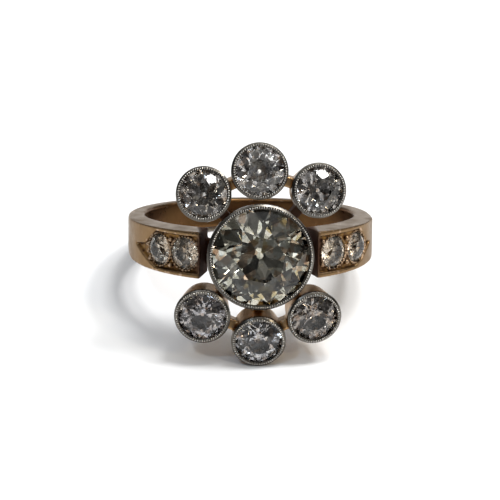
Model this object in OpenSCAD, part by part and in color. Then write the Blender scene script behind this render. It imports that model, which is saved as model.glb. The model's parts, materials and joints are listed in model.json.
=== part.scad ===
// A flower ring: a large old-cut stone with six petals round it, on a flat band with two stones
// in each shoulder.
// It lies on its side, as such a ring rests by itself: on its lowest petal and on the back of the band.
// The band is drawn upright, with the finger hole along Z and the flower facing -Y, and the ring is
// then laid down as one.

/* [Band] */
// Diameter of the finger hole
hole_d = 17.5; // [17.2:0.1:17.8]
// Diameter of the band's outer curve
band_d = 20.4; // [20.3:0.1:20.8]
// How far the outer curve is set forward at the shoulders
shoulder_shift = 1.4; // [1.3:0.05:1.5]
// How far the outer curve is set forward at the back
back_shift = 0.3; // [0.2:0.05:0.4]
// Height of the band at its back
back_h = 2.4; // [2.2:0.1:2.7]
// Height of the band at the shoulders
shoulder_h = 3.8; // [3.7:0.1:4]

/* [Shoulders] */
// Distance from the ring's middle to the front edge of a shoulder
end_x = 4.77; // [4.7:0.01:4.85]
// Slant of a shoulder's end face
end_slant = 18; // [16:1:20]
// Depth of the sunk panel round the shoulder stones
panel_t = 0.28; // [0.22:0.02:0.32]
// Height of the sunk panel
panel_h = 3; // [2.9:0.1:3.1]
// Angle round the band at which the panel's lower edge turns up
panel_bend = 54; // [53:1:56]
// Angle round the band of the panel's point
panel_tip = 72; // [70:1:74]
// Angle round the band of the notch above the left panel's point
left_notch = 62.5; // [62:0.5:64]
// Angle round the band of the notch above the right panel's point
right_notch = 65.5; // [65:0.5:67]
// Diameter of the shoulder stones next to the flower
inner_stone_d = 2.6; // [2.5:0.02:2.62]
// Diameter of the shoulder stones further back
outer_stone_d = 2.54; // [2.4:0.02:2.56]
// Angle round the band of the left shoulder's inner stone
left_inner = 36.2; // [36.2:0.1:36.5]
// Angle round the band of the left shoulder's outer stone
left_outer = 52; // [52:0.2:53]
// Angle round the band of the right shoulder's inner stone
right_inner = 38; // [37:0.2:38.6]
// Angle round the band of the right shoulder's outer stone
right_outer = 55.8; // [55:0.2:56.2]
// Thickness of the bridge from a shoulder to the flower
bridge_t = 0.7; // [0.5:0.1:0.8]
// Height of that bridge
bridge_h = 2; // [1.6:0.1:2.2]

/* [Flower] */
// Distance of the middle bezel's rim from the axis of the finger hole
middle_y = 12.35; // [12.3:0.05:12.5]
// Outer diameter of the middle bezel
middle_d = 8.54; // [8.4:0.02:8.6]
// Diameter of the middle stone
middle_stone_d = 7.9; // [7.7:0.02:7.92]
// Turn of the middle stone's facets
middle_turn = 11; // [0:1:44]
// Distance of the petals' rims from the axis of the finger hole
petal_y = 11.8; // [11.7:0.05:11.9]
// Width of a petal's bezel from its outer edge to the edge of its stone
petal_rim = 0.27; // [0.26:0.01:0.32]
// Length of a petal from its rim to its back
petal_l = 3; // [2.6:0.1:3.1]
// Height of the flower's middle above the middle of the band
head_rise = 0.2; // [0:0.05:0.3]
// Wall of the gold collets behind the bezels
collet_wall = 0.42; // [0.35:0.01:0.45]
// Space left between a stone, its bezel and its collet
gap = 0.03; // [0.02:0.01:0.04]

/* [Hidden] */
$fn = 96;

// Each petal: clock angle from the top, distance from the flower's middle, outward tilt, turn of its stone,
// outer diameter. They were made by hand, and no two are quite alike.
PETALS = [
    [-0.7, 6.87, 11, 8, 4.56],
    [41.3, 7.05, 11, 30, 4.42],
    [138.8, 6.73, 12, 17, 4.4],
    [180.4, 7, 15.5, 3, 4.42],
    [223.2, 6.72, 12, 36, 4.52],
    [318, 6.8, 16, 21, 4.44]];
top = PETALS[0];
upper_right = PETALS[1];
lower_right = PETALS[2];
bottom = PETALS[3];
lower_left = PETALS[4];
upper_left = PETALS[5];
function clock(p) = p[0];
function reach(p) = p[1];
function tilt(p) = p[2];
function turn(p) = p[3];
function rim_r(p) = p[4] / 2;
function stone_d(p) = p[4] - 2 * petal_rim;

band_r = band_d / 2;
hole_r = hole_d / 2;
finger_clear = 0.1;
reach_all = 40;

// Shares of a stone's radius or diameter that give its cut
table_share = 0.48;
star_share = 0.7;
lower_share = 0.42;
culet_share = 0.07;
crown_share = 0.155;
pavilion_share = 0.392;
girdle_share = 0.012;

// A bezel's section: how deep it is, how wide its sloping rim is and how far its lip covers the stone
bezel_t = 0.36;
rim_w = 0.14;
rim_drop = 0.12;
lip_cover = 0.06;
lip_t = 0.1;
girdle_depth = 0.3;

// How fast a stone narrows behind its girdle
pavilion_slope = (1 - lower_share) / 2 / pavilion_share
    * (1 - culet_share * cos(22.5)) / (1 - lower_share * cos(22.5));

// The collets narrow towards the back
petal_taper = 0.38;
middle_taper = 0.7;
collet_step = 0.02;
collet_front = bezel_t + gap;

// Webs between neighbouring petals, and struts from all but the top petal to the middle collet
web_h = 0.85;
web_l = 1.5;
web_depth = 1.4;
strut_w = 0.8;
strut_l = 1.3;
strut_y = 10.2;

// Seats under the shoulder stones
seat_gap = 0.04;
seat_l = 1.4;
seat_open = 1.3;
seat_step = 0.12;
seat_end_r = 0.5;
panel_border = 0.12;
notch_h = 0.25;
notch_run = 8.5;
// The right shoulder's outer stone is set a little more to the front than the band curves
right_lean = 4;

// Height of half the band at a distance behind the ring's middle
function half_h(y) = (back_h + (shoulder_h - back_h) * (band_r - y) / band_d) / 2;

// The resting pose, from the two places that touch: the back of the bottom petal's bezel and the
// band's back edge
low_y = -petal_y + bezel_t * cos(tilt(bottom)) + rim_r(bottom) * sin(tilt(bottom));
low_z = head_rise - reach(bottom) + bezel_t * sin(tilt(bottom)) - rim_r(bottom) * cos(tilt(bottom));
back_y = band_r - back_shift;
back_z = -half_h(back_y);
rest_tilt = atan2(back_z - low_z, back_y - low_y);
rest_lift = back_y * sin(rest_tilt) - back_z * cos(rest_tilt);

// The laid ring's nearest and farthest points, which centre it on its origin
table_up = (crown_share + girdle_share / 2) * stone_d(bottom) - girdle_depth;
lean = rest_tilt - tilt(bottom);
near_y = -petal_y * cos(rest_tilt) - (reach(bottom) - head_rise) * sin(rest_tilt)
    - table_up * cos(lean) - table_share * stone_d(bottom) / 2 * sin(lean);
far_y = back_y * cos(rest_tilt) - back_z * sin(rest_tilt);
rest_shift = -(near_y + far_y) / 2;

module laid_down() {
    translate([0, rest_shift, rest_lift]) rotate([-rest_tilt, 0, 0]) children();
}

// Frames with Z along the axis of a stone, outwards, and z = 0 at its bezel's rim or at its panel's floor
module at_middle() {
    translate([0, -middle_y, head_rise]) rotate([90, 0, 0]) children();
}

module at_petal(p) {
    translate([0, 0, head_rise]) rotate([0, clock(p), 0])
        translate([0, -petal_y, reach(p)]) rotate([90 - tilt(p), 0, 0]) children();
}

module at_shoulder(side, angle, lean_in = 0) {
    translate([0, -shoulder_shift, 0]) rotate([0, 0, side * angle])
        translate([0, panel_t - band_r, 0]) rotate([90, 0, -side * lean_in]) children();
}

// One corner of a ring of corners round Z, a share of a step further on
function corner(n, k, share, r, z) = [r * cos(360 * (k + share) / n), r * sin(360 * (k + share) / n), z];

// An old brilliant cut with eight mains above and below and an open culet, its girdle in the plane z = 0
module cut_stone(d) {
    r = d / 2;
    half_girdle = girdle_share * d / 2;
    table_z = half_girdle + crown_share * d;
    culet_z = -half_girdle - pavilion_share * d;
    side = cos(22.5);
    star_z = table_z - (star_share * side - table_share) / (1 - table_share) * (table_z - half_girdle);
    lower_z = -half_girdle + (1 - lower_share * side) / (1 - culet_share * side) * (culet_z + half_girdle);
    points = [
        for (k = [0:7]) corner(8, k, 0, table_share * r, table_z),
        for (k = [0:7]) corner(8, k, 0.5, star_share * r, star_z),
        for (k = [0:15]) corner(16, k, 0, r, half_girdle),
        for (k = [0:15]) corner(16, k, 0, r, -half_girdle),
        for (k = [0:7]) corner(8, k, 0.5, lower_share * r, lower_z),
        for (k = [0:7]) corner(8, k, 0.5, culet_share * r, culet_z)];
    function table_at(k) = (k + 8) % 8;
    function star_at(k) = 8 + (k + 8) % 8;
    function upper_at(k) = 16 + (k + 16) % 16;
    function under_at(k) = 32 + (k + 16) % 16;
    function lower_at(k) = 48 + (k + 8) % 8;
    function culet_at(k) = 56 + (k + 8) % 8;
    faces = [
        [for (k = [7:-1:0]) table_at(k)],
        for (k = [0:7]) [table_at(k), table_at(k + 1), star_at(k)],
        for (k = [0:7]) [table_at(k), star_at(k), upper_at(2 * k), star_at(k - 1)],
        for (k = [0:7]) [star_at(k), upper_at(2 * k + 1), upper_at(2 * k)],
        for (k = [0:7]) [star_at(k), upper_at(2 * k + 2), upper_at(2 * k + 1)],
        for (k = [0:15]) [upper_at(k), upper_at(k + 1), under_at(k + 1), under_at(k)],
        for (k = [0:7]) [lower_at(k), under_at(2 * k), under_at(2 * k + 1)],
        for (k = [0:7]) [lower_at(k), under_at(2 * k + 1), under_at(2 * k + 2)],
        for (k = [0:7]) [culet_at(k - 1), lower_at(k - 1), under_at(2 * k), lower_at(k), culet_at(k)],
        [for (k = [0:7]) culet_at(k)]];
    polyhedron(points = points, faces = faces);
}

// A bezel that holds a stone: a ring with a sloping rim and a lip over the girdle
module bezel(outer_d, stone_d) {
    outer_r = outer_d / 2;
    seat_r = stone_d / 2 + gap;
    lip_r = stone_d / 2 - lip_cover;
    rotate_extrude() polygon([
        [lip_r, 0], [outer_r - rim_w, 0], [outer_r, -rim_drop], [outer_r, -bezel_t],
        [seat_r, -bezel_t], [seat_r, -girdle_depth + lip_t], [lip_r, -lip_t]]);
}

// The outer outline of the band, seen along the finger hole
module band_outline() {
    translate([0, -shoulder_shift]) circle(band_r);
    translate([0, -back_shift]) circle(band_r);
    translate([-band_r, -shoulder_shift]) square([band_d, shoulder_shift - back_shift]);
}

// The space between the shoulders' end faces, wider by grow on each side
module head_space(grow) {
    slope = tan(end_slant);
    end_y = shoulder_shift + sqrt(band_r ^ 2 - end_x ^ 2);
    front_x = end_x + grow + (band_d - end_y) * slope;
    inner_x = end_x + grow - (end_y - hole_r / 2) * slope;
    linear_extrude(2 * shoulder_h, center = true) polygon([
        [-front_x, -band_d], [front_x, -band_d], [inner_x, -hole_r / 2], [-inner_x, -hole_r / 2]]);
}

// The band's height, seen from the side, taken across the whole ring
module side_taper() {
    rotate([90, 0, 90]) linear_extrude(reach_all, center = true) polygon([
        [-band_d, -half_h(-band_d)], [band_d, -half_h(band_d)],
        [band_d, half_h(band_d)], [-band_d, half_h(-band_d)]]);
}

// The sunk panel of one shoulder, with a point towards the back of the band and a notch above the point
module panel(side, notch) {
    function edge_y(angle) = -shoulder_shift - band_r * cos(angle);
    difference() {
        translate([side < 0 ? -reach_all : 0, 0, 0]) rotate([90, 0, 90]) linear_extrude(reach_all) polygon([
            [-band_d, panel_h / 2], [-band_d, -panel_h / 2], [edge_y(panel_bend), -panel_h / 2],
            [edge_y(panel_tip), 0], [edge_y(notch), notch_h], [edge_y(notch - notch_run), panel_h / 2]]);
        translate([0, -shoulder_shift, 0]) cylinder(h = 2 * panel_h, r = band_r - panel_t, center = true);
        head_space(panel_border);
    }
}

module seat(stone_d) {
    seat_r = stone_d / 2 + seat_gap;
    rotate_extrude() polygon([
        [0, -seat_l], [seat_end_r, -seat_l], [seat_r, -seat_step], [seat_r, seat_open], [0, seat_open]]);
}

module band() {
    difference() {
        intersection() {
            linear_extrude(2 * shoulder_h, center = true) band_outline();
            side_taper();
        }
        head_space(0);
        panel(-1, left_notch);
        panel(1, right_notch);
        at_shoulder(-1, left_inner) seat(inner_stone_d);
        at_shoulder(-1, left_outer) seat(outer_stone_d);
        at_shoulder(1, right_inner) seat(inner_stone_d);
        at_shoulder(1, right_outer, right_lean) seat(outer_stone_d);
    }
}

// The part of a ring round the finger hole that joins the shoulders to the flower
module bridge() {
    intersection() {
        cylinder(h = bridge_h, r = hole_r + bridge_t, center = true);
        head_space(panel_border);
    }
}

// A collet, or with a wall taken off its radius the bore through it, which runs on at both ends
module collet(length, outer_r, taper, wall, run) {
    front_r = outer_r - collet_step - wall;
    translate([0, 0, -length - run])
        cylinder(h = length + run - collet_front * (run > 0 ? 0.5 : 1), r1 = front_r - taper, r2 = front_r);
}

module petal_collet(p) {
    collet(petal_l, rim_r(p), petal_taper, 0, 0);
}

// The bearing in a collet's front edge, cut parallel to the stone above it
module bearing(outer_r, stone_r) {
    depth = (stone_r - outer_r + collet_step + collet_wall) / pavilion_slope + 2 * gap;
    back_r = stone_r - depth * pavilion_slope;
    front_r = stone_r + gap * pavilion_slope;
    translate([0, 0, -collet_front - depth]) cylinder(h = depth + gap, r1 = back_r, r2 = front_r);
}

module petal_bore(p) {
    collet(petal_l, rim_r(p), petal_taper, collet_wall, 1);
    bearing(rim_r(p), stone_d(p) / 2);
}

module middle_collet() {
    collet(middle_y - hole_r, middle_d / 2, middle_taper, 0, 0);
}

module middle_bore() {
    collet(middle_y - hole_r, middle_d / 2, middle_taper, collet_wall, 1);
    bearing(middle_d / 2, middle_stone_d / 2);
}

// A point on a petal's axis behind its rim
function behind(p, depth) = [
    sin(clock(p)) * (reach(p) - depth * sin(tilt(p))),
    -petal_y + depth * cos(tilt(p)),
    head_rise + cos(clock(p)) * (reach(p) - depth * sin(tilt(p)))];

// A web from one petal's collet to its neighbour's
module web(p, q) {
    from = behind(p, web_depth);
    to = behind(q, web_depth);
    across = [to.x - from.x, to.z - from.z];
    translate([from.x, (from.y + to.y) / 2, from.z]) rotate([0, atan2(across.x, across.y), 0])
        translate([-web_h / 2, -web_l / 2, 0]) cube([web_h, web_l, norm(across)]);
}

module strut(p) {
    translate([0, 0, head_rise]) rotate([0, clock(p), 0])
        translate([-strut_w / 2, -strut_y - strut_l / 2, 0]) cube([strut_w, strut_l, reach(p)]);
}

module flower_gold() {
    difference() {
        union() {
            at_middle() middle_collet();
            for (p = PETALS) at_petal(p) petal_collet(p);
            for (p = PETALS) if (p != top) strut(p);
            web(upper_left, top);
            web(top, upper_right);
            web(lower_right, bottom);
            web(bottom, lower_left);
        }
        cylinder(h = reach_all, r = hole_r + finger_clear, center = true);
    }
}

// Band, bridge and collets, soldered into one piece of rose gold
module gold_mounting() {
    color([0.66, 0.5, 0.4]) laid_down() difference() {
        union() {
            band();
            bridge();
            flower_gold();
        }
        at_middle() middle_bore();
        for (p = PETALS) at_petal(p) petal_bore(p);
        cylinder(h = shoulder_h + 1, r = hole_r, center = true);
    }
}

module middle_bezel() {
    color([0.72, 0.72, 0.7]) laid_down() at_middle() bezel(middle_d, middle_stone_d);
}

module middle_stone() {
    color([0.86, 0.88, 0.82]) laid_down() at_middle()
        translate([0, 0, -girdle_depth]) rotate([0, 0, middle_turn]) cut_stone(middle_stone_d);
}

module petal_bezel(p) {
    color([0.72, 0.72, 0.7]) laid_down() at_petal(p) bezel(2 * rim_r(p), stone_d(p));
}

module petal_stone(p) {
    color([0.85, 0.87, 0.88]) laid_down() at_petal(p)
        translate([0, 0, -girdle_depth]) rotate([0, 0, turn(p)]) cut_stone(stone_d(p));
}

module shoulder_stone(side, angle, stone_d, lean_in = 0) {
    color([0.85, 0.85, 0.83]) laid_down() at_shoulder(side, angle, lean_in) cut_stone(stone_d);
}

gold_mounting();
middle_bezel();
middle_stone();
petal_bezel(top);  // petal_bezel_top
petal_bezel(upper_right);  // petal_bezel_upper_right
petal_bezel(lower_right);  // petal_bezel_lower_right
petal_bezel(bottom);  // petal_bezel_bottom
petal_bezel(lower_left);  // petal_bezel_lower_left
petal_bezel(upper_left);  // petal_bezel_upper_left
petal_stone(top);  // petal_stone_top
petal_stone(upper_right);  // petal_stone_upper_right
petal_stone(lower_right);  // petal_stone_lower_right
petal_stone(bottom);  // petal_stone_bottom
petal_stone(lower_left);  // petal_stone_lower_left
petal_stone(upper_left);  // petal_stone_upper_left
shoulder_stone(-1, left_inner, inner_stone_d);  // shoulder_stone_left_inner
shoulder_stone(-1, left_outer, outer_stone_d);  // shoulder_stone_left_outer
shoulder_stone(1, right_inner, inner_stone_d);  // shoulder_stone_right_inner
shoulder_stone(1, right_outer, outer_stone_d, right_lean);  // shoulder_stone_right_outer
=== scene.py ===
import json
import math
import bpy
import bmesh
import numpy as np
from mathutils import Matrix, Vector


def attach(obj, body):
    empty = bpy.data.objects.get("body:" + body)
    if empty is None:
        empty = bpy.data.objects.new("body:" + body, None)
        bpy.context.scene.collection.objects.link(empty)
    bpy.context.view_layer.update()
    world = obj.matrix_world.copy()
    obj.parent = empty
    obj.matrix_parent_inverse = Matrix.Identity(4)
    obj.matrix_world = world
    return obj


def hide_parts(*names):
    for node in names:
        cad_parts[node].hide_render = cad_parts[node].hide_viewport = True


# Flower ring: old-cut stones in beaded platinum bezels on a rose-gold band, lying on its side.
# The ring's own axes: Z along the finger hole, -Y out through the flower, X to the right as it is faced.

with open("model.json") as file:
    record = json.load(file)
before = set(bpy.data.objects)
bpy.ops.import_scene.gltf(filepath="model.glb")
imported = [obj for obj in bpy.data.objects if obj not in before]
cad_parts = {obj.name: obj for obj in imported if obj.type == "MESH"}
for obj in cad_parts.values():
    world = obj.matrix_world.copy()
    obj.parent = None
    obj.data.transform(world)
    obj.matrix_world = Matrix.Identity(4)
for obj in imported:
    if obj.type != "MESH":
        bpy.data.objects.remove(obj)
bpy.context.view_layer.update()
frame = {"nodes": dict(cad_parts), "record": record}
mm = 0.001
print("frame loaded:", len(frame["nodes"]), "nodes")


# helpers

def fingerHole():
    # the finger hole's mount gives the lying ring's place and tilt
    mount = [m for m in frame["record"]["mounts"] if m["name"] == "finger_hole"][0]
    axis = Vector(mount["axis"])
    turn = Matrix.Rotation(-math.atan2(axis.y, axis.z), 4, "X")
    return Matrix.Translation(mount["pos_m"]) @ turn, mount["dims"]["r_mm"] * mm


ringToWorld, holeRadius = fingerHole()


def nodesNamed(word):
    # the CAD pieces with this word in their names, in the order of their names
    return [obj for name, obj in sorted(frame["nodes"].items()) if word in name]


def linear(hexColour):
    # an sRGB hex colour as linear red, green, blue and alpha
    parts = [int(hexColour[i:i + 2], 16) / 255 for i in (1, 3, 5)]
    return [c / 12.92 if c <= 0.04045 else ((c + 0.055) / 1.055) ** 2.4 for c in parts] + [1.0]


def addNode(tree, kind, settings=None, inputs=None):
    # one node with its settings, and its inputs given as values or as sockets to link
    node = tree.nodes.new(kind)
    for name, value in (settings or {}).items():
        setattr(node, name, value)
    for name, value in (inputs or {}).items():
        socket = node.inputs[name]
        if isinstance(value, bpy.types.NodeSocket):
            tree.links.new(value, socket)
        else:
            socket.default_value = value
    return node


def newMaterial(name):
    material = bpy.data.materials.new(name)
    material.use_nodes = True
    tree = material.node_tree
    tree.nodes.clear()
    output = addNode(tree, "ShaderNodeOutputMaterial")
    shader = addNode(tree, "ShaderNodeBsdfPrincipled")
    tree.links.new(shader.outputs["BSDF"], output.inputs["Surface"])
    return material, tree, shader


def paint(obj, material):
    obj.data.materials.clear()
    obj.data.materials.append(material)


def newObject(name, mesh):
    obj = bpy.data.objects.new(name, mesh)
    bpy.context.scene.collection.objects.link(obj)
    return obj


def ridePiece(obj):
    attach(obj, "root")


def bakedMesh(obj, name):
    # the object's modifiers taken into one plain mesh, under a new name
    evaluated = obj.evaluated_get(bpy.context.evaluated_depsgraph_get())
    mesh = bpy.data.meshes.new_from_object(evaluated)
    mesh.name = name
    bpy.data.objects.remove(obj)
    return newObject(name, mesh)


# camera

cameraSettings = {
    # turn, height and roll are in degrees from the ring's own axes, the rest is in millimetres
    "turn": -4.4, "height": 11.27, "roll": -0.5, "distance": 192.1,
    "right": -0.075, "up": 1.597, "focal": 163.8, "sensor": 36.0}


def makeCamera(s):
    turn, height, roll = (math.radians(s[k]) for k in ("turn", "height", "roll"))
    back = Vector((math.sin(turn) * math.cos(height), -math.cos(turn) * math.cos(height), math.sin(height)))
    across = Vector((math.cos(turn), math.sin(turn), 0))
    above = back.cross(across)
    right = across * math.cos(roll) - above * math.sin(roll)
    up = across * math.sin(roll) + above * math.cos(roll)
    place = (back * s["distance"] - right * s["right"] - up * s["up"]) * mm
    pose = Matrix((right, up, back)).transposed().to_4x4()
    data = bpy.data.cameras.new("photoCamera")
    data.lens, data.sensor_width = s["focal"], s["sensor"]
    data.clip_start, data.clip_end = 0.01, 20
    camera = bpy.data.objects.new("photoCamera", data)
    bpy.context.scene.collection.objects.link(camera)
    camera.matrix_world = ringToWorld @ Matrix.Translation(place) @ pose
    bpy.context.scene.camera = camera


makeCamera(cameraSettings)
print("camera placed")


# rose gold

noiseRange = (0.3, 0.7)  # most of a noise pattern lies between these

roseGoldSettings = {
    # each pair of numbers is where a change starts and where it ends
    # two tones of the polished band, the metal's roughness, and its tint at grazing angles
    "tones": ("#937959", "#755A3B"), "tonesPerMm": 0.7, "roughness": (0.24, 0.42), "grazing": "#E1E0DE",
    # hairline scratches drawn out round the band, and how much closer they lie up and down it
    "scratchesPerMm": 4.2, "scratchStretch": 9.0, "scratchDepth": 0.02 * mm, "scratchStrength": 0.15,
    # brown grime and painted shade in the corners: how far from a corner it reaches, and how open the corner
    # is
    "grimeAndShade": "#4E2C12", "cornerReach": 1.2 * mm, "cornerOpen": (0.2, 0.7),
    # the collets reach past the band: yellower gold and cleaner, and lighter as painted light falling on
    # them
    "collets": "#C8A274", "colletShare": 0.6, "colletLevel": (1.92 * mm, 2.1 * mm),
    # edges rubbed bright, by how sharp they are
    "rubbed": "#BFA48B", "rubbedShare": 0.7, "rubbedSharpness": (0.53, 0.6),
    # blotchy tarnish and painted shade on the finger hole's wall, by the depth into the metal
    "tarnishAndShade": ("#4C2711", "#5A3D1E"), "tarnishAndShadeShare": 0.75, "tarnishAndShadeDepth": (0.05 * mm, 0.2 * mm),
    "blotchesPerMm": 0.33, "blotchRange": (0.32, 0.68),
    # speckled film on the floor of the shoulders' sunk panels, by the height above it
    "film": ("#351A0C", "#7A5A2E"), "filmHeight": (0.08 * mm, 0.2 * mm),
    "specksPerMm": 2.4, "speckRange": (0.4, 0.6),
    # those panels: how far their curve is set forward, the radius of their floor and of the solid gold
    # under it, half their height and their back end
    "panelShift": 1.4 * mm, "panelFloor": 9.92 * mm, "panelUnder": 9.0 * mm,
    "panelHalfHeight": 1.52 * mm, "panelBack": -4.4 * mm,
    # dark matt colour in the gaps round the middle bezel, painted shade, by the distance from the flower's
    # axis and the height
    "bezelGapShade": "#46281C", "bezelGapShadeShare": 0.9, "bezelGapShadeDistance": (4.85 * mm, 5.35 * mm),
    "bezelGapShadeHeight": (-2.6 * mm, -2.0 * mm)}


def ringPlaces(tree, where):
    # a point's place on the ring: its height and how far it is above or below the middle, how far behind
    # the finger hole's axis it is, and its distances from that axis and from the flower's
    fromCentre = addNode(tree, "ShaderNodeVectorMath", {"operation": "SUBTRACT"}, {
        0: where, 1: ringToWorld.translation})
    places = {}
    for along, away, column in (("height", "fromHole", 2), ("behind", "fromFlower", 1)):
        both = {0: fromCentre.outputs["Vector"], 1: ringToWorld.col[column][:3]}
        distance = addNode(tree, "ShaderNodeVectorMath", {"operation": "DOT_PRODUCT"}, both)
        sideways = addNode(tree, "ShaderNodeVectorMath", {"operation": "CROSS_PRODUCT"}, both)
        radius = addNode(tree, "ShaderNodeVectorMath", {"operation": "LENGTH"}, {
            0: sideways.outputs["Vector"]})
        places[along] = distance.outputs["Value"]
        places[away] = radius.outputs["Value"]
    level = addNode(tree, "ShaderNodeMath", {"operation": "ABSOLUTE"}, {0: places["height"]})
    places["level"] = level.outputs[0]
    return places


def masked(tree, share, masks):
    # a share kept as far as every mask lets it through
    for mask in masks:
        kept = addNode(tree, "ShaderNodeMath", {"operation": "MULTIPLY"}, {0: share, 1: mask})
        share = kept.outputs[0]
    return share


def patchy(tree, where, perMm, detail, spread, colours):
    # two colours in soft patches, so many of them to a millimetre
    noise = addNode(tree, "ShaderNodeTexNoise", inputs={
        "Vector": where, "Scale": perMm / mm, "Detail": detail})
    share = addNode(tree, "ShaderNodeMapRange", inputs={
        "Value": noise.outputs["Fac"], "From Min": spread[0], "From Max": spread[1],
        "To Min": 0.0, "To Max": 1.0})
    mixed = addNode(tree, "ShaderNodeMix", {"data_type": "RGBA"}, {
        0: share.outputs["Result"], 6: linear(colours[0]), 7: linear(colours[1])})
    return mixed.outputs[2]


def bezelGapShadeAmount(tree, places, s):
    # how much painted shade goes into the gaps round the middle bezel, in front of the finger hole
    near = addNode(tree, "ShaderNodeMapRange", inputs={
        "Value": places["fromFlower"], "From Min": s["bezelGapShadeDistance"][0], "From Max": s["bezelGapShadeDistance"][1],
        "To Min": s["bezelGapShadeShare"], "To Max": 0.0})
    front = addNode(tree, "ShaderNodeMath", {"operation": "LESS_THAN"}, {0: places["behind"], 1: 0.0})
    above = addNode(tree, "ShaderNodeMapRange", inputs={
        "Value": places["height"], "From Min": s["bezelGapShadeHeight"][0], "From Max": s["bezelGapShadeHeight"][1],
        "To Min": 0.0, "To Max": 1.0})
    return masked(tree, near.outputs["Result"], (front.outputs[0], above.outputs["Result"]))


def panelFilm(tree, where, places, share, s):
    # how much film lies on the floor of the shoulders' sunk panels
    fromCurve = addNode(tree, "ShaderNodeVectorMath", {"operation": "SUBTRACT"}, {
        0: where, 1: ringToWorld @ Vector((0, -s["panelShift"], 0))})
    outwards = addNode(tree, "ShaderNodeVectorMath", {"operation": "CROSS_PRODUCT"}, {
        0: fromCurve.outputs["Vector"], 1: ringToWorld.col[2][:3]})
    radius = addNode(tree, "ShaderNodeVectorMath", {"operation": "LENGTH"}, {
        0: outwards.outputs["Vector"]})
    sunk = addNode(tree, "ShaderNodeMapRange", inputs={
        "Value": radius.outputs["Value"], "From Min": s["panelFloor"] + s["filmHeight"][0],
        "From Max": s["panelFloor"] + s["filmHeight"][1], "To Min": share, "To Max": 0.0})
    outer = addNode(tree, "ShaderNodeMath", {"operation": "GREATER_THAN"}, {
        0: radius.outputs["Value"], 1: s["panelUnder"]})
    within = addNode(tree, "ShaderNodeMath", {"operation": "LESS_THAN"}, {
        0: places["level"], 1: s["panelHalfHeight"]})
    shoulders = addNode(tree, "ShaderNodeMath", {"operation": "LESS_THAN"}, {
        0: places["behind"], 1: s["panelBack"]})
    return masked(tree, sunk.outputs["Result"], (
        outer.outputs[0], within.outputs[0], shoulders.outputs[0]))


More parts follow.
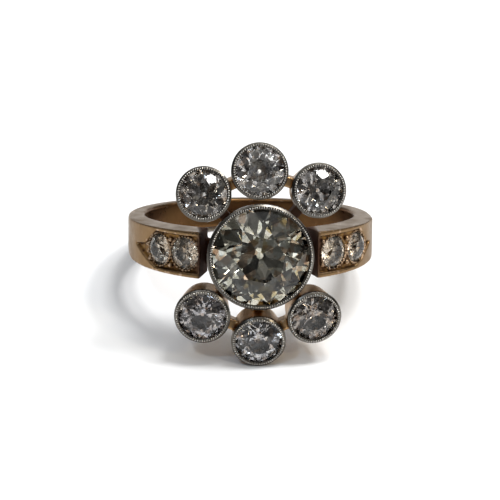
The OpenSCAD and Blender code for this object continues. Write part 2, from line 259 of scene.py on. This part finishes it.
def roseGold(name, grimeAndShadeShare, s):
    # rose gold, cast, filed and polished, then worn for decades: dull pink-brown metal with hairline
    # scratches, brighter where edges have rubbed and dark brown in the corners, as grime and painted shade
    material, tree, shader = newMaterial(name)
    where = addNode(tree, "ShaderNodeTexCoord").outputs["Object"]
    places = ringPlaces(tree, where)
    worn = addNode(tree, "ShaderNodeTexNoise", inputs={
        "Vector": where, "Scale": s["tonesPerMm"] / mm, "Detail": 5.0, "Roughness": 0.6})
    tone = addNode(tree, "ShaderNodeMix", {"data_type": "RGBA"}, {
        0: worn.outputs["Fac"], 6: linear(s["tones"][0]), 7: linear(s["tones"][1])})

    # painted shade with grime: corners darkened by how little of the surroundings they see
    corner = addNode(tree, "ShaderNodeAmbientOcclusion", {"samples": 8, "only_local": True}, {
        "Distance": s["cornerReach"]})
    grimeAndShade = addNode(tree, "ShaderNodeMapRange", inputs={
        "Value": corner.outputs["AO"], "From Min": s["cornerOpen"][0], "From Max": s["cornerOpen"][1],
        "To Min": grimeAndShadeShare, "To Max": 0.0})
    # painted light with yellower gold: the collets made lighter over the grime and painted shade
    collets = addNode(tree, "ShaderNodeMapRange", inputs={
        "Value": places["level"], "From Min": s["colletLevel"][0], "From Max": s["colletLevel"][1],
        "To Min": 0.0, "To Max": s["colletShare"]})
    surface = addNode(tree, "ShaderNodeNewGeometry")
    edge = addNode(tree, "ShaderNodeMapRange", inputs={
        "Value": surface.outputs["Pointiness"], "From Min": s["rubbedSharpness"][0],
        "From Max": s["rubbedSharpness"][1], "To Min": 0.0, "To Max": s["rubbedShare"]})
    # tarnish and painted shade: the finger hole's wall darkened in blotches
    inside = addNode(tree, "ShaderNodeMapRange", inputs={
        "Value": places["fromHole"], "From Min": holeRadius + s["tarnishAndShadeDepth"][0],
        "From Max": holeRadius + s["tarnishAndShadeDepth"][1], "To Min": s["tarnishAndShadeShare"], "To Max": 0.0})
    tarnishAndShade = patchy(tree, where, s["blotchesPerMm"], 2.0, s["blotchRange"], s["tarnishAndShade"])
    sunk = panelFilm(tree, where, places, grimeAndShadeShare, s)
    film = patchy(tree, where, s["specksPerMm"], 3.0, s["speckRange"], s["film"])
    # painted shade in the gaps round the middle bezel
    bezelGapShade = bezelGapShadeAmount(tree, places, s)

    # each coat lies over the ones before it
    coats = [
        (grimeAndShade.outputs["Result"], linear(s["grimeAndShade"])),
        (collets.outputs["Result"], linear(s["collets"])),
        (edge.outputs["Result"], linear(s["rubbed"])),
        (inside.outputs["Result"], tarnishAndShade),
        (sunk, film),
        (bezelGapShade, linear(s["bezelGapShade"]))]
    colour = tone.outputs[2]
    for share, coat in coats:
        coated = addNode(tree, "ShaderNodeMix", {"data_type": "RGBA"}, {0: share, 6: colour, 7: coat})
        colour = coated.outputs[2]

    # the painted shade round the middle bezel is matt and no metal
    polish = addNode(tree, "ShaderNodeMapRange", inputs={
        "Value": worn.outputs["Fac"], "From Min": noiseRange[0], "From Max": noiseRange[1],
        "To Min": s["roughness"][0], "To Max": s["roughness"][1]})
    dull = addNode(tree, "ShaderNodeMath", {"operation": "MAXIMUM"}, {
        0: polish.outputs["Result"], 1: bezelGapShade})
    bare = addNode(tree, "ShaderNodeMath", {"operation": "SUBTRACT"}, {0: 1.0, 1: bezelGapShade})
    stretched = addNode(tree, "ShaderNodeMapping", inputs={
        "Vector": where, "Scale": (1.0, 1.0, s["scratchStretch"])})
    scratches = addNode(tree, "ShaderNodeTexNoise", inputs={
        "Vector": stretched.outputs["Vector"], "Scale": s["scratchesPerMm"] / mm, "Detail": 2.0})
    bump = addNode(tree, "ShaderNodeBump", inputs={
        "Height": scratches.outputs["Fac"], "Strength": s["scratchStrength"], "Distance": s["scratchDepth"]})
    tree.links.new(colour, shader.inputs["Base Color"])
    tree.links.new(dull.outputs[0], shader.inputs["Roughness"])
    tree.links.new(bare.outputs[0], shader.inputs["Metallic"])
    tree.links.new(bump.outputs["Normal"], shader.inputs["Normal"])
    shader.inputs["Specular Tint"].default_value = linear(s["grazing"])
    return material


goldMaterial = roseGold("roseGoldWorn", 0.85, roseGoldSettings)
# the grains get less grime and painted shade
grainMaterial = roseGold("roseGoldBright", 0.25, roseGoldSettings)  # the grains hold less grime


# platinum

platinumSettings = {
    # two tones of the rubbed metal, from its tool marks, and its roughness
    "tones": ("#6A665F", "#4B4742"), "marksPerMm": 1.4, "roughness": (0.18, 0.34),
    "markDepth": 0.02 * mm, "markStrength": 0.2, "edgeRadius": 0.06 * mm,
    # grime and painted shade in the corners: how far from a corner it reaches, and how open the corner is
    "grimeAndShade": "#33291F", "cornerReach": 0.25 * mm, "cornerOpen": (0.3, 0.9)}

beadShadeAndHighlight = {
    # the colours of the hollows between the beads and of their tops, painted shade and painted highlight,
    # and how open each is
    "colours": ("#312E2A", "#B6B1AA"), "hollowReach": 0.12 * mm, "open": (0.45, 0.85), "roughness": 0.25}


def platinum(s):
    # platinum, turned and rubbed over the stones by hand: grey-white, polished, with fine tool marks,
    # and dark grey in the corners between the beads, film and painted shade
    material, tree, shader = newMaterial("platinumWorked")
    where = addNode(tree, "ShaderNodeTexCoord").outputs["Object"]
    marks = addNode(tree, "ShaderNodeTexNoise", inputs={
        "Vector": where, "Scale": s["marksPerMm"] / mm, "Detail": 4.0})
    tone = addNode(tree, "ShaderNodeMix", {"data_type": "RGBA"}, {
        0: marks.outputs["Fac"], 6: linear(s["tones"][0]), 7: linear(s["tones"][1])})
    # painted shade with film: corners darkened by how little of the surroundings they see
    corner = addNode(tree, "ShaderNodeAmbientOcclusion", {"samples": 8}, {"Distance": s["cornerReach"]})
    grimeAndShade = addNode(tree, "ShaderNodeMapRange", inputs={
        "Value": corner.outputs["AO"], "From Min": s["cornerOpen"][0], "From Max": s["cornerOpen"][1],
        "To Min": 1.0, "To Max": 0.0})
    grimyAndShaded = addNode(tree, "ShaderNodeMix", {"data_type": "RGBA"}, {
        0: grimeAndShade.outputs["Result"], 6: tone.outputs[2], 7: linear(s["grimeAndShade"])})
    polish = addNode(tree, "ShaderNodeMapRange", inputs={
        "Value": marks.outputs["Fac"], "From Min": noiseRange[0], "From Max": noiseRange[1],
        "To Min": s["roughness"][0], "To Max": s["roughness"][1]})
    soft = addNode(tree, "ShaderNodeBevel", {"samples": 6}, {"Radius": s["edgeRadius"]})
    bump = addNode(tree, "ShaderNodeBump", inputs={
        "Height": marks.outputs["Fac"], "Strength": s["markStrength"], "Distance": s["markDepth"],
        "Normal": soft.outputs["Normal"]})
    tree.links.new(grimyAndShaded.outputs[2], shader.inputs["Base Color"])
    tree.links.new(polish.outputs["Result"], shader.inputs["Roughness"])
    tree.links.new(bump.outputs["Normal"], shader.inputs["Normal"])
    shader.inputs["Metallic"].default_value = 1.0
    return material


def platinumBeads(s):
    # millegrain, rolled along the rim with a tiny knurled wheel: painted highlight on the tops, painted
    # shade in the hollows
    material, tree, shader = newMaterial("platinumMillegrain")
    # painted shade and highlight: hollows dark and tops light, by how open each point is
    corner = addNode(tree, "ShaderNodeAmbientOcclusion", {"samples": 8}, {"Distance": s["hollowReach"]})
    height = addNode(tree, "ShaderNodeMapRange", inputs={
        "Value": corner.outputs["AO"], "From Min": s["open"][0], "From Max": s["open"][1],
        "To Min": 0.0, "To Max": 1.0})
    tone = addNode(tree, "ShaderNodeMix", {"data_type": "RGBA"}, {
        0: height.outputs["Result"], 6: linear(s["colours"][0]), 7: linear(s["colours"][1])})
    tree.links.new(tone.outputs[2], shader.inputs["Base Color"])
    shader.inputs["Metallic"].default_value = 1.0
    shader.inputs["Roughness"].default_value = s["roughness"]
    return material


platinumMaterial = platinum(platinumSettings)
beadMaterial = platinumBeads(beadShadeAndHighlight)
print("metals made")


# diamond

diamondSettings = {
    # the share of the facets' film and painted reflections, the tint of their reflections and the depth of
    # their waves
    "ior": 2.417, "filmAndReflectionShare": 0.9, "glare": "#808080", "waveDepth": 0.05 * mm}

# for each kind of stone, the tints of single facets (clear, grey film, and gold or brown as painted
# reflections of the mounting seen through), how many patches of them a millimetre has, and how wavy and
# rough the facets are
middleFinish = {
    "tintsAndReflections": [
        "#FFFFFF", "#D2D7D2", "#B0954A", "#E6F1FC", "#A4A69E", "#FFFFFF", "#A9805E", "#D9DDD8", "#8A8B80"],
    "patchesPerMm": 1.5, "waviness": 0.05, "roughness": 0.02}
petalFinish = {
    "tintsAndReflections": ["#FFFFFF", "#CCCED6", "#B89A82", "#EEF4FF", "#AEACAC", "#F6F0E4", "#8C8684", "#DAD9E0"],
    "patchesPerMm": 2.6, "waviness": 0.2, "roughness": 0.03}
shoulderFinish = {
    "tintsAndReflections": ["#FFFFFF", "#D6CCC0", "#F2EEE8", "#BFAE9A", "#E4E2E0", "#A99C8F"],
    "patchesPerMm": 2.2, "waviness": 0.3, "roughness": 0.12}

stones = [
    # the stone's name or the start of several, body colour, finish; the body colours are the stones' own
    # tints, made lighter or darker from stone to stone as painted light
    ("middle_stone", "#D1CCBE", middleFinish),
    ("petal_stone_top", "#FBF8F2", petalFinish),
    ("petal_stone_upper_right", "#C9C4BD", petalFinish),
    ("petal_stone_lower_right", "#B3ACA4", petalFinish),
    ("petal_stone_bottom", "#D0CFCE", petalFinish),
    ("petal_stone_lower_left", "#BDB9B8", petalFinish),
    ("petal_stone_upper_left", "#CBC5BC", petalFinish),
    ("shoulder_stone", "#D9CEBF", shoulderFinish)]


def diamond(name, colour, finish, s):
    # diamond, cut and polished by hand, then worn for decades: clear and strongly refracting,
    # with a thin film and painted reflections on its facets that dim and tint it in angular patches
    material, tree, shader = newMaterial(name)
    where = addNode(tree, "ShaderNodeTexCoord").outputs["Object"]
    scale = finish["patchesPerMm"] / mm
    patches = addNode(tree, "ShaderNodeTexVoronoi", inputs={
        "Vector": where, "Scale": scale, "Randomness": 1.0})
    pick = addNode(tree, "ShaderNodeSeparateColor", inputs={"Color": patches.outputs["Color"]})
    # painted reflections: gold and brown patches stand in for the mounting seen through the stone
    ramp = addNode(tree, "ShaderNodeValToRGB", inputs={"Fac": pick.outputs["Red"]})
    ramp.color_ramp.interpolation = "CONSTANT"
    stops = ramp.color_ramp.elements
    for k, tint in enumerate(finish["tintsAndReflections"]):
        stop = stops[0] if k == 0 else stops.new(k / len(finish["tintsAndReflections"]))
        stop.color = linear(tint)
    body = addNode(tree, "ShaderNodeMix", {"data_type": "RGBA", "blend_type": "MULTIPLY"}, {
        0: s["filmAndReflectionShare"], 6: linear(colour), 7: ramp.outputs["Color"]})
    waves = addNode(tree, "ShaderNodeTexNoise", inputs={"Vector": where, "Scale": scale, "Detail": 2.0})
    bump = addNode(tree, "ShaderNodeBump", inputs={
        "Height": waves.outputs["Fac"], "Strength": finish["waviness"], "Distance": s["waveDepth"]})
    tree.links.new(body.outputs[2], shader.inputs["Base Color"])
    tree.links.new(bump.outputs["Normal"], shader.inputs["Normal"])
    shader.inputs["Roughness"].default_value = finish["roughness"]
    shader.inputs["IOR"].default_value = s["ior"]
    shader.inputs["Transmission Weight"].default_value = 1.0
    shader.inputs["Specular Tint"].default_value = linear(s["glare"])
    return material


# stones and bezels keep their CAD shapes

for name, colour, finish in stones:
    stoneMaterial = diamond("diamond_" + name, colour, finish, diamondSettings)
    for obj in nodesNamed(name):
        paint(obj, stoneMaterial)
for obj in nodesNamed("bezel"):
    paint(obj, platinumMaterial)
print("stones and bezels finished")


# the gold mounting, softened from the CAD solid

goldSettings = {
    # the band behind the shoulders is worn rounder, between two depths from the finger hole's centre
    "voxel": 0.075 * mm, "smoothShare": 0.5, "smoothTurns": 6,
    "wornTurns": 60, "wornFrom": -3.8 * mm, "wornTo": -0.5 * mm,
    "triangles": 180000, "mergeWithin": 0.001 * mm}


def mergedCopy(obj, distance):
    # a copy of the mesh with its doubled points merged
    mesh = obj.data.copy()
    work = bmesh.new()
    work.from_mesh(mesh)
    bmesh.ops.remove_doubles(work, verts=work.verts, dist=distance)
    work.to_mesh(mesh)
    work.free()
    return mesh


def makeGold(s):
    obj = newObject("goldWork", mergedCopy(frame["nodes"]["gold_mounting"], s["mergeWithin"]))
    remesh = obj.modifiers.new("remesh", "REMESH")
    remesh.mode, remesh.voxel_size = "VOXEL", s["voxel"]
    soften = obj.modifiers.new("soften", "SMOOTH")
    soften.factor, soften.iterations = s["smoothShare"], s["smoothTurns"]
    gold = bakedMesh(obj, "goldSoft")
    group = gold.vertex_groups.new(name="worn")
    toRing = ringToWorld.inverted()
    for vert in gold.data.vertices:
        share = ((toRing @ vert.co).y - s["wornFrom"]) / (s["wornTo"] - s["wornFrom"])
        group.add([vert.index], min(1, max(0, share)), "REPLACE")
    wear = gold.modifiers.new("wear", "SMOOTH")
    wear.factor, wear.iterations, wear.vertex_group = s["smoothShare"], s["wornTurns"], "worn"
    count = sum(len(p.vertices) - 2 for p in gold.data.polygons)
    thin = gold.modifiers.new("thin", "DECIMATE")
    thin.ratio = min(1, s["triangles"] / count)
    gold = bakedMesh(gold, "rose_gold_mounting")
    gold.data.polygons.foreach_set("use_smooth", [True] * len(gold.data.polygons))
    paint(gold, goldMaterial)
    print("gold mounting:", count, "triangles before thinning,", len(gold.data.polygons), "faces")
    return gold


goldMounting = makeGold(goldSettings)
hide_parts("gold_mounting")
ridePiece(goldMounting)


# beads and grains, set by geometry nodes

def turnedAxis(obj):
    # centre and axis of a turned piece, from its own mesh: it is thinnest along its axis
    points = np.array([v.co for v in obj.data.vertices])
    centre = points.mean(0)
    axis = np.linalg.eigh(np.cov((points - centre).T))[1][:, 0]
    if (ringToWorld.to_3x3().inverted() @ Vector(axis)).y > 0:
        axis = -axis
    return Vector(centre), Vector(axis)


def addCircle(work, centre, axis, radius, count):
    # a closed circle of edges round an axis
    side = axis.orthogonal().normalized()
    turns = [Matrix.Rotation(2 * math.pi * k / count, 3, axis) for k in range(count)]
    verts = [work.verts.new(centre + (turn @ side) * radius) for turn in turns]
    for k in range(count):
        work.edges.new((verts[k - 1], verts[k]))


def newTree(name, numbers, seed):
    # a geometry node tree with named inputs for its numbers, its seed and its material
    tree = bpy.data.node_groups.new(name, "GeometryNodeTree")
    tree.interface.new_socket("Geometry", in_out="INPUT", socket_type="NodeSocketGeometry")
    for label, value in numbers.items():
        socket = tree.interface.new_socket(label, in_out="INPUT", socket_type="NodeSocketFloat")
        socket.default_value = value
    socket = tree.interface.new_socket("Seed", in_out="INPUT", socket_type="NodeSocketInt")
    socket.default_value = seed
    tree.interface.new_socket("Material", in_out="INPUT", socket_type="NodeSocketMaterial")
    tree.interface.new_socket("Geometry", in_out="OUTPUT", socket_type="NodeSocketGeometry")
    return tree, addNode(tree, "NodeGroupInput")


def unevenSize(tree, given):
    # a random share of the full size, down to 1 less the unevenness
    least = addNode(tree, "ShaderNodeMath", {"operation": "SUBTRACT"}, {
        0: 1.0, 1: given.outputs["Unevenness"]})
    share = addNode(tree, "FunctionNodeRandomValue", {"data_type": "FLOAT"}, {
        "Min": least.outputs[0], "Max": 1.0, "Seed": given.outputs["Seed"]})
    return share.outputs["Value"]


def closeTree(tree, given, beads):
    # the beads made real, smooth and painted
    real = addNode(tree, "GeometryNodeRealizeInstances", inputs={"Geometry": beads.outputs["Instances"]})
    smooth = addNode(tree, "GeometryNodeSetShadeSmooth", inputs={"Geometry": real.outputs["Geometry"]})
    finished = addNode(tree, "GeometryNodeSetMaterial", inputs={
        "Geometry": smooth.outputs["Geometry"], "Material": given.outputs["Material"]})
    addNode(tree, "NodeGroupOutput", inputs={"Geometry": finished.outputs["Geometry"]})
    return tree


def runTree(work, name, tree, material):
    # a work mesh sent through a tree, as a plain mesh
    mesh = bpy.data.meshes.new(name + "_work")
    work.to_mesh(mesh)
    work.free()
    obj = newObject(name + "_work", mesh)
    modifier = obj.modifiers.new("beads", "NODES")
    modifier.node_group = tree
    for item in tree.interface.items_tree:
        if item.in_out == "INPUT" and item.name == "Material":
            modifier[item.identifier] = material
    return bakedMesh(obj, name)


def beadRowTree(name, s):
    # beads strung along circles of edges
    tree, given = newTree(name, {
        "Step": s["step"], "Radius": s["radius"], "Unevenness": s["unevenness"]}, s["seed"])
    curve = addNode(tree, "GeometryNodeMeshToCurve", inputs={"Mesh": given.outputs["Geometry"]})
    points = addNode(tree, "GeometryNodeCurveToPoints", {"mode": "LENGTH"}, {
        "Curve": curve.outputs["Curve"], "Length": given.outputs["Step"]})
    ball = addNode(tree, "GeometryNodeMeshUVSphere", inputs={
        "Radius": given.outputs["Radius"], "Segments": s["segments"], "Rings": s["rings"]})
    bead = addNode(tree, "GeometryNodeTransform", inputs={
        "Geometry": ball.outputs["Mesh"], "Scale": s["stretch"]})
    beads = addNode(tree, "GeometryNodeInstanceOnPoints", inputs={
        "Points": points.outputs["Points"], "Instance": bead.outputs["Geometry"],
        "Rotation": points.outputs["Rotation"], "Scale": unevenSize(tree, given)})
    return closeTree(tree, given, beads)


# millegrain: a row of tiny beads rolled along each bezel's rim

millegrainSettings = {
    # how far inside the bezel's edge the row runs, then the beads' size, spacing and shape
    "inset": 0.25 * mm, "middleInset": 0.29 * mm, "circlePoints": 180,
    "radius": 0.1 * mm, "step": 0.19 * mm, "stretch": (1.15, 1.15, 0.8), "unevenness": 0.2, "seed": 5,
    "segments": 8, "rings": 5}


def makeMillegrain(bezels, s):
    work = bmesh.new()
    for obj in bezels:
        centre, axis = turnedAxis(obj)
        points = [v.co - centre for v in obj.data.vertices]
        top = max(p.dot(axis) for p in points)
        edge = max((p - axis * p.dot(axis)).length for p in points)
        inset = s["middleInset" if obj == frame["nodes"]["middle_bezel"] else "inset"]
        addCircle(work, centre + axis * top, axis, edge - inset, s["circlePoints"])
    return runTree(work, "millegrain_beads", beadRowTree("millegrainRow", s), beadMaterial)


millegrain = makeMillegrain(nodesNamed("bezel"), millegrainSettings)
ridePiece(millegrain)
print("millegrain beads:", len(millegrain.data.polygons), "faces")


# burrs: the gold pushed up round each shoulder stone's girdle

burrSettings = {
    # how far above and outside the girdle they sit, how near the widest point counts as girdle,
    # then the burrs' size, spacing and shape
    "rise": 0.03 * mm, "offset": 0.07 * mm, "girdleShare": 0.99, "circlePoints": 90,
    "radius": 0.13 * mm, "step": 0.3 * mm, "stretch": (1.0, 1.0, 1.3), "unevenness": 0.6, "seed": 8,
    "segments": 8, "rings": 5}


def makeBurrs(shoulderStones, s):
    work = bmesh.new()
    for obj in shoulderStones:
        centre, axis = turnedAxis(obj)
        points = [v.co - centre for v in obj.data.vertices]
        widest = max((p - axis * p.dot(axis)).length for p in points)
        girdle = [p for p in points if (p - axis * p.dot(axis)).length > s["girdleShare"] * widest]
        level = sum(p.dot(axis) for p in girdle) / len(girdle) + s["rise"]
        addCircle(work, centre + axis * level, axis, widest + s["offset"], s["circlePoints"])
    return runTree(work, "shoulder_burrs", beadRowTree("burrRow", s), grainMaterial)


burrs = makeBurrs(nodesNamed("shoulder"), burrSettings)
ridePiece(burrs)
print("burrs:", len(burrs.data.polygons), "faces")


# grains: small beads raised from the gold to hold the shoulder stones

grainSettings = {
    # the panels' curve, then each grain's angle round it, height and radius, in degrees and millimetres
    "front": 1.4, "curve": 10.02, "unevenness": 0.15, "seed": 3, "subdivisions": 3,
    "left": [
        (44.2, 1.0, 0.2), (44.4, -1.1, 0.2), (29.6, 0.95, 0.19), (29.6, -0.8, 0.17),
        (60.3, 0.25, 0.17), (60.3, -0.35, 0.15), (56.5, 1.1, 0.15), (58.6, -0.9, 0.16)],
    "right": [
        (46.9, 0.95, 0.22), (46.9, -1.0, 0.22), (46.9, 0.3, 0.15), (46.9, -0.3, 0.15), (31.3, 1.0, 0.19),
        (31.0, -0.9, 0.18), (64.3, 0.3, 0.15), (64.3, -0.35, 0.15), (60.5, -0.95, 0.17), (59.5, 1.05, 0.16)]}


def grainTree(s):
    # a ball at each point, with the radius that the point carries
    tree, given = newTree("shoulderGrains", {"Unevenness": s["unevenness"]}, s["seed"])
    points = addNode(tree, "GeometryNodeMeshToPoints", inputs={"Mesh": given.outputs["Geometry"]})
    bead = addNode(tree, "GeometryNodeMeshIcoSphere", inputs={
        "Radius": 1.0, "Subdivisions": s["subdivisions"]})
    size = addNode(tree, "GeometryNodeInputNamedAttribute", {"data_type": "FLOAT"}, {"Name": "grainRadius"})
    radius = addNode(tree, "ShaderNodeMath", {"operation": "MULTIPLY"}, {
        0: size.outputs["Attribute"], 1: unevenSize(tree, given)})
    beads = addNode(tree, "GeometryNodeInstanceOnPoints", inputs={
        "Points": points.outputs["Points"], "Instance": bead.outputs["Mesh"], "Scale": radius.outputs[0]})
    return closeTree(tree, given, beads)


def makeGrains(s):
    work = bmesh.new()
    radii = work.verts.layers.float.new("grainRadius")
    for side, grains in ((-1, s["left"]), (1, s["right"])):
        for angle, height, radius in grains:
            turn = math.radians(angle)
            across = side * math.sin(turn) * s["curve"]
            forward = -s["front"] - math.cos(turn) * s["curve"]
            vert = work.verts.new(ringToWorld @ (Vector((across, forward, height)) * mm))
            vert[radii] = radius * mm
    return runTree(work, "shoulder_grains", grainTree(s), grainMaterial)


grains = makeGrains(grainSettings)
ridePiece(grains)
print("grains:", len(grains.data.polygons), "faces")


# floor

floorSettings = {"reach": 3.0, "colour": "#F4F4F4", "roughness": 0.6}


def makeFloor(s):
    mesh = bpy.data.meshes.new("floor")
    corners = [(x * s["reach"], y * s["reach"], 0) for x, y in ((-1, -1), (1, -1), (1, 1), (-1, 1))]
    mesh.from_pydata(corners, [], [(0, 1, 2, 3)])
    floor = newObject("floor", mesh)
    material, _, shader = newMaterial("paleFloor")
    shader.inputs["Base Color"].default_value = linear(s["colour"])
    shader.inputs["Roughness"].default_value = s["roughness"]
    paint(floor, material)


makeFloor(floorSettings)


# light

lamps = [
    # name, place in metres, size in metres, watts, colour
    ("key", (0.27, 0.05, 0.49), 0.1, 1.3, (1.0, 1.0, 1.0)),
    ("top", (0.13, 0.03, 0.55), 0.12, 1.2, (1.0, 1.0, 1.0)),
    ("glintLeft", (-0.2, -0.22, 0.42), 0.04, 0.3, (0.62, 0.8, 1.0)),
    ("glintRight", (0.3, -0.25, 0.3), 0.04, 0.3, (1.0, 0.88, 0.66))]

tentSettings = {
    # which way the tent is brightest, its strength from the dark side to there and where the change
    # starts and ends, then the folds of its cloth, which darken and brighten it
    "towards": (0.12, 0.15, 0.98), "dark": 0.12, "bright": 1.6, "from": 0.42, "to": 1.0,
    "foldScale": 4.0, "foldDark": 0.1, "foldBright": 1.9, "foldRange": (0.35, 0.65)}


def makeLamps():
    for name, place, size, watts, colour in lamps:
        data = bpy.data.lights.new(name, "AREA")
        data.size, data.energy, data.color = size, watts, colour
        lamp = bpy.data.objects.new(name, data)
        bpy.context.scene.collection.objects.link(lamp)
        lamp.location = place
        lamp.rotation_euler = (-Vector(place)).to_track_quat("-Z", "Y").to_euler()


def makeTent(s):
    # a soft tent, bright above and behind the ring and dark on the camera's side
    world = bpy.data.worlds.new("studio")
    world.use_nodes = True
    tree = world.node_tree
    tree.nodes.clear()
    where = addNode(tree, "ShaderNodeTexCoord").outputs["Generated"]
    slope = addNode(tree, "ShaderNodeVectorMath", {"operation": "DOT_PRODUCT"}, {
        0: where, 1: Vector(s["towards"]).normalized()})
    level = addNode(tree, "ShaderNodeMapRange", {"interpolation_type": "SMOOTHSTEP"}, {
        "Value": slope.outputs["Value"], "From Min": s["from"], "From Max": s["to"],
        "To Min": s["dark"], "To Max": s["bright"]})
    folds = addNode(tree, "ShaderNodeTexNoise", inputs={
        "Vector": where, "Scale": s["foldScale"], "Detail": 1.0})
    shade = addNode(tree, "ShaderNodeMapRange", inputs={
        "Value": folds.outputs["Fac"], "From Min": s["foldRange"][0], "From Max": s["foldRange"][1],
        "To Min": s["foldDark"], "To Max": s["foldBright"]})
    strength = addNode(tree, "ShaderNodeMath", {"operation": "MULTIPLY"}, {
        0: level.outputs["Result"], 1: shade.outputs["Result"]})
    light = addNode(tree, "ShaderNodeBackground", inputs={"Strength": strength.outputs[0]})
    addNode(tree, "ShaderNodeOutputWorld", inputs={"Surface": light.outputs["Background"]})
    bpy.context.scene.world = world


makeLamps()
makeTent(tentSettings)
bpy.context.scene.view_settings.view_transform = "Standard"  # plain colours, as in a catalogue photo
print("floor and lights made")
